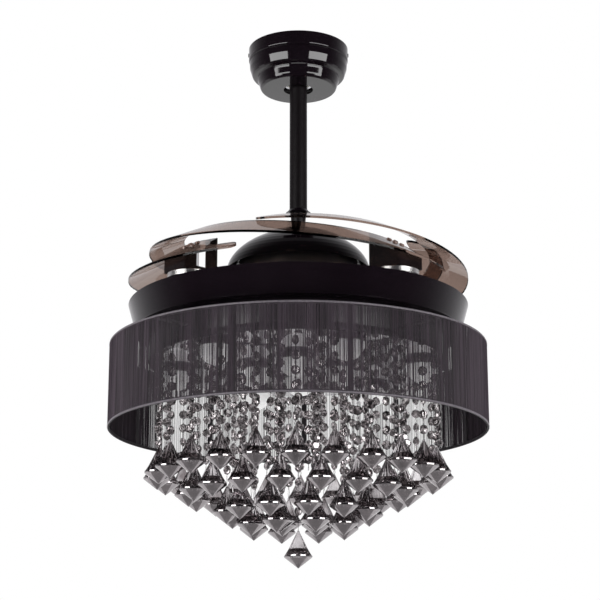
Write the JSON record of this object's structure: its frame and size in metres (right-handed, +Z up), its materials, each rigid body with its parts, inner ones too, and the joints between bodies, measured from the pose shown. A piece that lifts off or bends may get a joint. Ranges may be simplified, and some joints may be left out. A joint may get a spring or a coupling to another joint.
{
  "type": "retractable blade ceiling fan",
  "caption": "Ceiling fan on a down rod with folding clear blades above a black tray, and a drum shade of threads round lamps and hanging crystal drops.",
  "frame": {"origin": "centre of the ceiling plane, midway between the two slots of the mounting strap", "axes": "+Z up along the down rod into the ceiling; +X along the mounting strap; -Y towards the side seen in the picture"},
  "size_m": [0.53, 0.53, 0.7618],
  "materials": {
    "plated_steel": "zinc plated",
    "black_metal": "gloss black",
    "fasteners": "satin",
    "receiver_plastic": "matte white",
    "wire_insulation": "matte",
    "nylon_liner": "matte",
    "zinc_ball": "as cast",
    "motor_steel": "laminated",
    "copper_windings": "enamelled",
    "mirror_steel": "polished",
    "white_plastic": "gloss",
    "lamp_metal": "satin",
    "lamp_white": "frosted",
    "shade_frame_metal": "satin",
    "shade_threads": "sheer vertical threads",
    "smoky_crystal": "cut and polished",
    "motor_casting": "satin black",
    "magnets": "ground",
    "bearing_steel": "ground",
    "chrome_trim": "polished",
    "bush_bronze": "machined",
    "spring_steel": "oiled",
    "gear_plastic": "matte",
    "smoky_acrylic": "clear smoky brown, polished",
    "black_plastic": "gloss black"
  },
  "bodies": {
    "ceiling_mount": {"hanger_bracket": "plated_steel", "canopy": "black_metal", "canopy_screws": "fasteners", "remote_receiver": "receiver_plastic", "lead_wires": "wire_insulation"},
    "seat_ring": {"ball_seat_liner": "nylon_liner"},
    "hanging": {"hanger_ball": "zinc_ball", "ball_cross_pin": "fasteners", "down_rod": "black_metal", "rod_set_screw": "fasteners", "rod_collar": "black_metal", "motor_shaft": "black_metal", "dome_cover": "black_metal", "shaft_nuts": "fasteners", "stator_core": "motor_steel", "stator_windings": "copper_windings", "fan_tray": "black_metal", "light_pan": "black_metal", "pan_screws": "fasteners", "mirror_plate": "mirror_steel", "lamp_holders": "white_plastic", "lamp_bodies": "lamp_metal", "lamp_domes": "lamp_white", "shade_top_ring": "shade_frame_metal", "shade_bottom_ring": "shade_frame_metal", "shade_bars": "shade_frame_metal", "shade_threads": "shade_threads", "bead_strings": "smoky_crystal", "outer_drops": "smoky_crystal", "inner_drops": "smoky_crystal"},
    "rotor": {"motor_upper_shell": "motor_casting", "motor_lower_shell": "motor_casting", "shell_screws": "fasteners", "rotor_magnets": "magnets", "motor_bearings": "bearing_steel", "carrier_hub": "motor_casting", "carrier_plate": "black_metal", "carrier_screws": "fasteners", "pivot_cups": "chrome_trim", "pivot_bushes": "bush_bronze", "return_springs": "spring_steel", "gear_retainer": "plated_steel"},
    "common_gear": {"sync_gear": "gear_plastic"},
    "folding_blade_1": {"blade_1": "smoky_acrylic", "blade_arm_1": "black_plastic", "blade_spindle_1": "bearing_steel", "blade_screws_1": "fasteners"},
    "folding_blade_2": {"blade_2": "smoky_acrylic", "blade_arm_2": "black_plastic", "blade_spindle_2": "bearing_steel", "blade_screws_2": "fasteners"},
    "folding_blade_3": {"blade_3": "smoky_acrylic", "blade_arm_3": "black_plastic", "blade_spindle_3": "bearing_steel", "blade_screws_3": "fasteners"},
    "folding_blade_4": {"blade_4": "smoky_acrylic", "blade_arm_4": "black_plastic", "blade_spindle_4": "bearing_steel", "blade_screws_4": "fasteners"}
  },
  "joints": [
    {"name": "swing_x", "type": "hinge", "parent": "ceiling_mount", "child": "seat_ring", "pos_m": [0, 0, -0.033], "axis": [1, 0, 0], "range_deg": [-10, 10]},
    {"name": "swing_y", "type": "hinge", "parent": "seat_ring", "child": "hanging", "pos_m": [0, 0, -0.033], "axis": [0, 1, 0], "range_deg": [-10, 10]},
    {"name": "rotor_spin", "type": "hinge", "parent": "hanging", "child": "rotor", "pos_m": [0, 0, -0.334], "axis": [0, 0, 1], "continuous": true},
    {"name": "blade_1_open", "type": "hinge", "parent": "rotor", "child": "folding_blade_1", "pos_m": [0.14491, 0.13048, -0.398], "axis": [0, 0, 1], "range_deg": [0, 150], "stiffness_Nm_per_rad": 0.12, "springref_deg": -20.05},
    {"name": "blade_2_open", "type": "hinge", "parent": "rotor", "child": "folding_blade_2", "pos_m": [-0.13048, 0.14491, -0.398], "axis": [0, 0, 1], "range_deg": [0, 150], "stiffness_Nm_per_rad": 0.12, "springref_deg": -20.05},
    {"name": "blade_3_open", "type": "hinge", "parent": "rotor", "child": "folding_blade_3", "pos_m": [-0.14491, -0.13048, -0.398], "axis": [0, 0, 1], "range_deg": [0, 150], "stiffness_Nm_per_rad": 0.12, "springref_deg": -20.05},
    {"name": "blade_4_open", "type": "hinge", "parent": "rotor", "child": "folding_blade_4", "pos_m": [0.13048, -0.14491, -0.398], "axis": [0, 0, 1], "range_deg": [0, 150], "stiffness_Nm_per_rad": 0.12, "springref_deg": -20.05},
    {"name": "common_gear_turn", "type": "hinge", "parent": "rotor", "child": "common_gear", "pos_m": [0, 0, -0.4075], "axis": [0, 0, 1], "range_deg": [-27.28, 0.01]}
  ],
  "couplings": [
    {"joint": "blade_2_open", "follows": "blade_1_open", "ratio": 1},
    {"joint": "blade_3_open", "follows": "blade_1_open", "ratio": 1},
    {"joint": "blade_4_open", "follows": "blade_1_open", "ratio": 1},
    {"joint": "common_gear_turn", "follows": "blade_1_open", "ratio": -0.18182}
  ]
}
